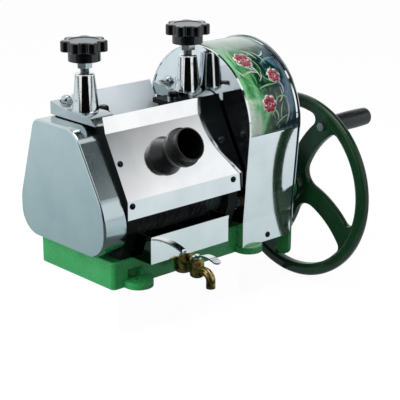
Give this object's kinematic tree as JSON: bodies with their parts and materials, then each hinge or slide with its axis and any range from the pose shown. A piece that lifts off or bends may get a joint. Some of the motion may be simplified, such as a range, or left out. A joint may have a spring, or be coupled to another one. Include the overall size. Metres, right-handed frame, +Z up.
{
  "type": "sugarcane juicer",
  "caption": "Hand-cranked sugarcane juicer: sprung crushing rollers, geared hand wheel, feed tube, polished covers and a sliding juice tray with a tap, on a green cast base.",
  "frame": {"origin": "centre of the four base bolts, on the underside of the base", "axes": "+X along the rollers towards the hand wheel, +Y to the back, +Z up"},
  "size_m": [0.6, 0.4394, 0.494],
  "materials": {
    "green_casting": "gloss enamel",
    "dark_green_enamel": "gloss enamel",
    "frame_paint": "satin enamel",
    "polished_sheet": "mirror polish",
    "satin_sheet": "satin",
    "bright_plating": "plated",
    "machined_steel": "turned",
    "gear_iron": "oiled",
    "bush_bronze": "turned",
    "tap_brass": "polished",
    "black_moulding": "moulded",
    "feed_moulding": "moulded",
    "grip_moulding": "moulded",
    "disc_aluminium": "spun",
    "gasket_rubber": "matt",
    "black_bolt": "blackened"
  },
  "bodies": {
    "machine": {"base_casting": "green_casting", "left_side_frame": "frame_paint", "right_side_frame": "frame_paint", "left_cap_bar": "bright_plating", "right_cap_bar": "bright_plating", "rear_cap_nuts": "bright_plating", "front_cap_bolts": "black_bolt", "left_tower": "bright_plating", "right_tower": "bright_plating", "left_spring": "machined_steel", "right_spring": "machined_steel", "lower_bushes": "bush_bronze", "wheel_shaft_bushes": "bush_bronze", "left_end_cover": "satin_sheet", "gear_cover": "polished_sheet", "gear_cover_gasket": "gasket_rubber", "gear_cover_back_plate": "polished_sheet", "gear_cover_screws": "black_bolt", "front_panel": "polished_sheet", "panel_screws": "black_bolt", "feed_tube": "feed_moulding", "rear_cover": "polished_sheet", "bagasse_chute": "polished_sheet", "turner_bar": "machined_steel", "wheel_bracket": "green_casting", "frame_bolts": "machined_steel", "bracket_bolts": "machined_steel"},
    "top_bearings": {"left_bearing_block": "machined_steel", "right_bearing_block": "machined_steel", "top_bushes": "bush_bronze"},
    "top_roller_set": {"top_roller": "machined_steel", "top_roller_shaft": "machined_steel", "top_roller_gear": "gear_iron", "drive_gear": "gear_iron"},
    "front_roller_set": {"front_roller": "machined_steel", "front_roller_gear": "gear_iron"},
    "rear_roller_set": {"rear_roller": "machined_steel", "rear_roller_gear": "gear_iron"},
    "wheel_set": {"wheel_shaft": "machined_steel", "pinion": "gear_iron", "hand_wheel": "dark_green_enamel", "wheel_nut": "bright_plating", "handle_spindle": "bright_plating"},
    "grip_set": {"handle_grip": "grip_moulding"},
    "left_seat": {"left_spring_seat": "machined_steel"},
    "left_screw_set": {"left_pressure_screw": "machined_steel", "left_jam_nut": "bright_plating", "left_star_knob": "black_moulding", "left_knob_disc": "disc_aluminium"},
    "right_seat": {"right_spring_seat": "machined_steel"},
    "right_screw_set": {"right_pressure_screw": "machined_steel", "right_jam_nut": "bright_plating", "right_star_knob": "black_moulding", "right_knob_disc": "disc_aluminium"},
    "tray_set": {"juice_tray": "polished_sheet", "tap_body": "tap_brass", "tap_nut": "tap_brass"},
    "tap_lever": {"tap_handle": "bright_plating"}
  },
  "joints": [
    {"name": "top_roller_lift", "type": "slide", "parent": "machine", "child": "top_bearings", "axis": [0, 0, 1], "range_m": [0, 0.003], "stiffness_N_per_m": 10000, "springref_m": -0.01, "deforming": ["left_spring", "right_spring"]},
    {"name": "top_roller_spin", "type": "hinge", "parent": "top_bearings", "child": "top_roller_set", "pos_m": [0, 0, 0.20899], "axis": [1, 0, 0], "continuous": true},
    {"name": "front_roller_spin", "type": "hinge", "parent": "machine", "child": "front_roller_set", "pos_m": [0, -0.057, 0.122], "axis": [1, 0, 0], "continuous": true},
    {"name": "rear_roller_spin", "type": "hinge", "parent": "machine", "child": "rear_roller_set", "pos_m": [0, 0.057, 0.122], "axis": [1, 0, 0], "continuous": true},
    {"name": "hand_wheel_spin", "type": "hinge", "parent": "machine", "child": "wheel_set", "pos_m": [0, -0.09, 0.0915], "axis": [1, 0, 0], "continuous": true},
    {"name": "grip_spin", "type": "hinge", "parent": "wheel_set", "child": "grip_set", "pos_m": [0.34, -0.15825, 0.21773], "axis": [1, 0, 0], "continuous": true},
    {"name": "juice_tray_slide", "type": "slide", "parent": "machine", "child": "tray_set", "axis": [0, -1, 0], "range_m": [0, 0.15]},
    {"name": "tap_lever_turn", "type": "hinge", "parent": "tray_set", "child": "tap_lever", "pos_m": [-0.0465, -0.1655, 0.045], "axis": [0, 0, 1], "range_deg": [0, 90]},
    {"name": "left_seat_slide", "type": "slide", "parent": "machine", "child": "left_seat", "axis": [0, 0, 1], "range_m": [-0.004, 0.002], "deforming": ["left_spring"]},
    {"name": "left_knob_turn", "type": "hinge", "parent": "left_seat", "child": "left_screw_set", "pos_m": [-0.149, 0, 0.35], "axis": [0, 0, 1], "range_deg": [-725, 365]},
    {"name": "right_seat_slide", "type": "slide", "parent": "machine", "child": "right_seat", "axis": [0, 0, 1], "range_m": [-0.004, 0.002], "deforming": ["right_spring"]},
    {"name": "right_knob_turn", "type": "hinge", "parent": "right_seat", "child": "right_screw_set", "pos_m": [0.081, 0, 0.35], "axis": [0, 0, 1], "range_deg": [-725, 365]}
  ],
  "couplings": [
    {"joint": "front_roller_spin", "follows": "top_roller_spin", "ratio": -1},
    {"joint": "rear_roller_spin", "follows": "top_roller_spin", "ratio": -1},
    {"joint": "hand_wheel_spin", "follows": "top_roller_spin", "ratio": -4.2857},
    {"joint": "left_knob_turn", "follows": "left_seat_slide", "rad_per_m": 3141.6},
    {"joint": "right_knob_turn", "follows": "right_seat_slide", "rad_per_m": 3141.6}
  ]
}
